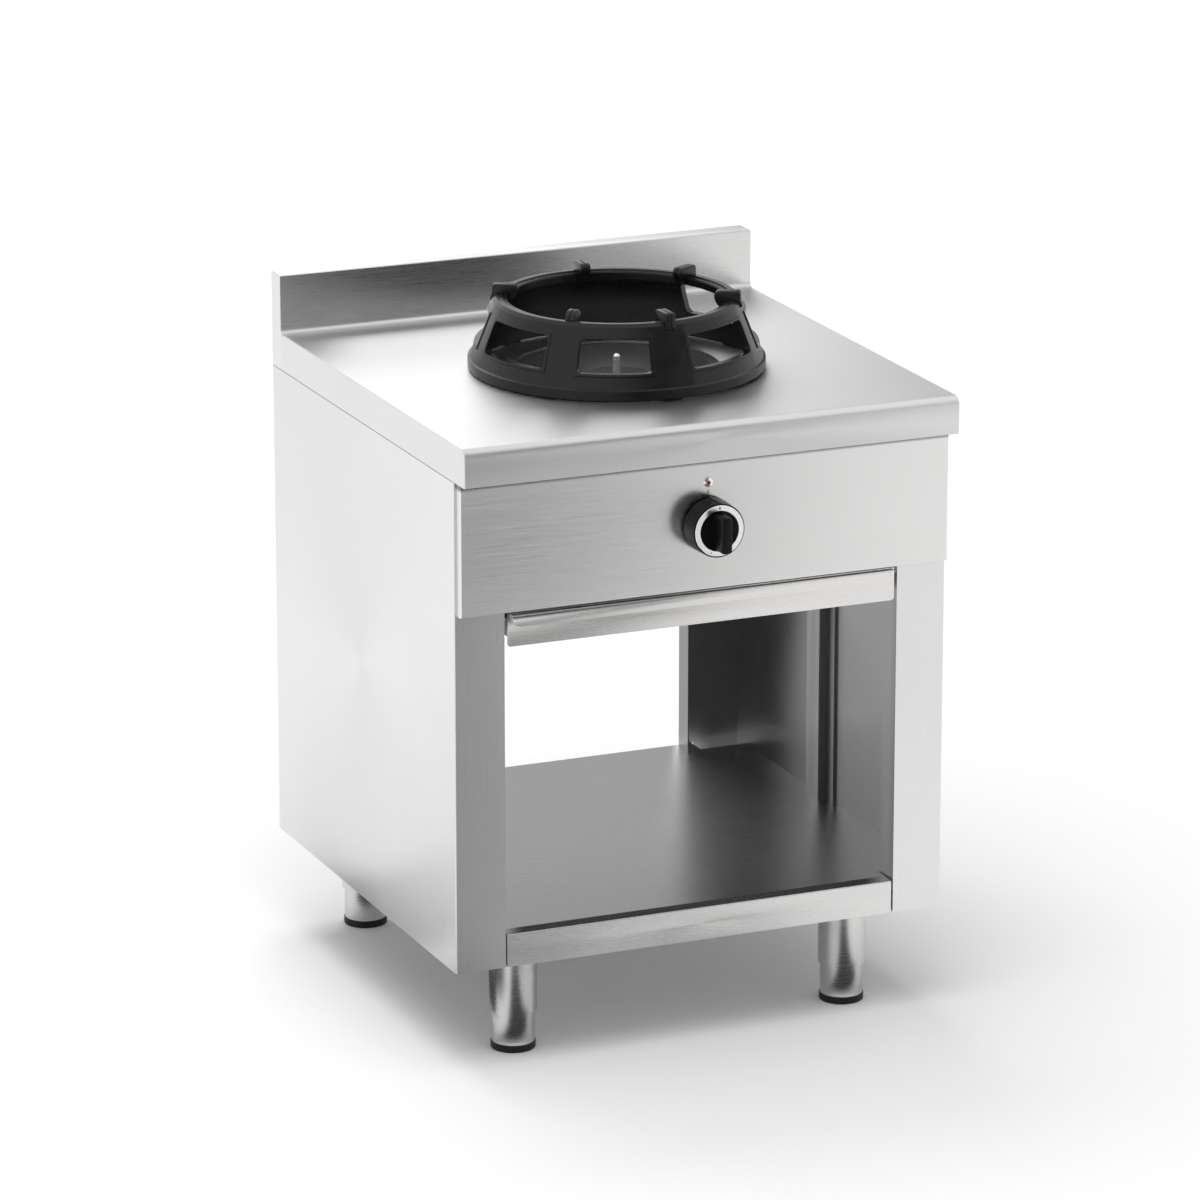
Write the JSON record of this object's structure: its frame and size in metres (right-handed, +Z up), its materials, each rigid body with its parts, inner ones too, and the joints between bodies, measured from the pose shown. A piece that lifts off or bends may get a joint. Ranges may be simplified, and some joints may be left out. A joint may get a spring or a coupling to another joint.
{
  "type": "gas wok range",
  "caption": "Free-standing stainless gas wok range with a raised cast iron wok ring, a control knob, a drip tray and an open cabinet on adjustable legs.",
  "frame": {"origin": "on the floor, in the middle of the part's bounding box, which reaches from the knob in front to the gas inlet behind", "axes": "+Z up, -Y to the front where the knob is, +X to the right seen from the front"},
  "size_m": [0.7, 0.776, 0.965],
  "materials": {
    "worktop_steel": "brushed along the width",
    "splash_steel": "brushed along the width",
    "panel_steel": "brushed along the width",
    "side_steel": "brushed upright",
    "shelf_steel": "brushed along the width",
    "tray_steel": "brushed along the width",
    "leg_steel": "satin, turned",
    "galvanised_steel": "dull zinc",
    "pipe_steel": "plain",
    "spring_steel": "plain",
    "screw_steel": "bright",
    "satin_metal": "satin ring with fine marks",
    "cast_iron": "black, satin, finely grained",
    "burner_iron": "black, matt",
    "bowl_enamel": "dark enamel",
    "brass": "plain",
    "copper": "copper pipe",
    "bright_chrome": "bright",
    "knob_black": "satin black moulding",
    "insert_black": "matt",
    "index_red": "red dot",
    "pad_rubber": "black rubber"
  },
  "bodies": {
    "range": {"worktop": "worktop_steel", "splashback": "splash_steel", "bottom_shelf": "shelf_steel", "front_crossmember": "galvanised_steel", "rear_crossmember": "galvanised_steel", "rear_panel": "panel_steel", "control_panel": "panel_steel", "burner_bowl": "bowl_enamel", "burner_body": "burner_iron", "mixing_tube": "burner_iron", "air_shutter": "galvanised_steel", "injector_holder": "brass", "injector": "brass", "supply_pipe": "pipe_steel", "pilot_bracket": "galvanised_steel", "pilot_burner": "brass", "flame_sensor": "bright_chrome", "pilot_pipe": "copper", "gas_manifold": "pipe_steel", "inlet_locknuts": "brass", "tap_body": "brass", "tap_clamp": "brass", "tap_nut": "brass", "tap_bracket": "galvanised_steel", "tap_spring": "spring_steel", "index_bezel": "bright_chrome", "index_dot": "index_red", "leg_bolts": "screw_steel", "panel_screws": "screw_steel", "leg_tubes": "leg_steel", "leg_inserts": "insert_black", "left_side_panel": "side_steel", "left_upright": "side_steel", "left_wall_rib": "side_steel", "left_leg_rail": "galvanised_steel", "left_tray_runner": "galvanised_steel", "left_burner_rail": "galvanised_steel", "right_side_panel": "side_steel", "right_upright": "side_steel", "right_wall_rib": "side_steel", "right_leg_rail": "galvanised_steel", "right_tray_runner": "galvanised_steel", "right_burner_rail": "galvanised_steel"},
    "wok_ring": {"wok_ring": "cast_iron"},
    "burner_head": {"burner_head": "burner_iron"},
    "burner_cap": {"burner_cap": "burner_iron", "burner_pin": "bright_chrome"},
    "drip_tray": {"drip_tray": "tray_steel"},
    "stem_washer": {"stem_washer": "galvanised_steel"},
    "knob": {"tap_stem": "bright_chrome", "knob_body": "knob_black", "knob_ring": "satin_metal"},
    "foot_front_left": {"foot_front_left": "leg_steel", "pad_front_left": "pad_rubber"},
    "foot_front_right": {"foot_front_right": "leg_steel", "pad_front_right": "pad_rubber"},
    "foot_back_left": {"foot_back_left": "leg_steel", "pad_back_left": "pad_rubber"},
    "foot_back_right": {"foot_back_right": "leg_steel", "pad_back_right": "pad_rubber"}
  },
  "joints": [
    {"name": "ring_lift", "type": "slide", "parent": "range", "child": "wok_ring", "axis": [0, 0, 1], "range_m": [0, 0.2]},
    {"name": "head_lift", "type": "slide", "parent": "range", "child": "burner_head", "axis": [0, 0, 1], "range_m": [0, 0.15]},
    {"name": "cap_lift", "type": "slide", "parent": "burner_head", "child": "burner_cap", "axis": [0, 0, 1], "range_m": [0, 0.12]},
    {"name": "tray_slide", "type": "slide", "parent": "range", "child": "drip_tray", "axis": [0, -1, 0], "range_m": [0, 0.45]},
    {"name": "knob_push", "type": "slide", "parent": "range", "child": "stem_washer", "axis": [0, 1, 0], "range_m": [0, 0.004], "stiffness_N_per_m": 1500, "springref_m": -0.004, "deforming": ["tap_spring"]},
    {"name": "knob_turn", "type": "hinge", "parent": "stem_washer", "child": "knob", "pos_m": [0, -0.35, 0.7155], "axis": [0, -1, 0], "range_deg": [0, 270]},
    {"name": "foot_front_left_adjust", "type": "slide", "parent": "range", "child": "foot_front_left", "axis": [0, 0, -1], "range_m": [-0.012, 0.015]},
    {"name": "foot_front_right_adjust", "type": "slide", "parent": "range", "child": "foot_front_right", "axis": [0, 0, -1], "range_m": [-0.012, 0.015]},
    {"name": "foot_back_left_adjust", "type": "slide", "parent": "range", "child": "foot_back_left", "axis": [0, 0, -1], "range_m": [-0.012, 0.015]},
    {"name": "foot_back_right_adjust", "type": "slide", "parent": "range", "child": "foot_back_right", "axis": [0, 0, -1], "range_m": [-0.012, 0.015]}
  ]
}
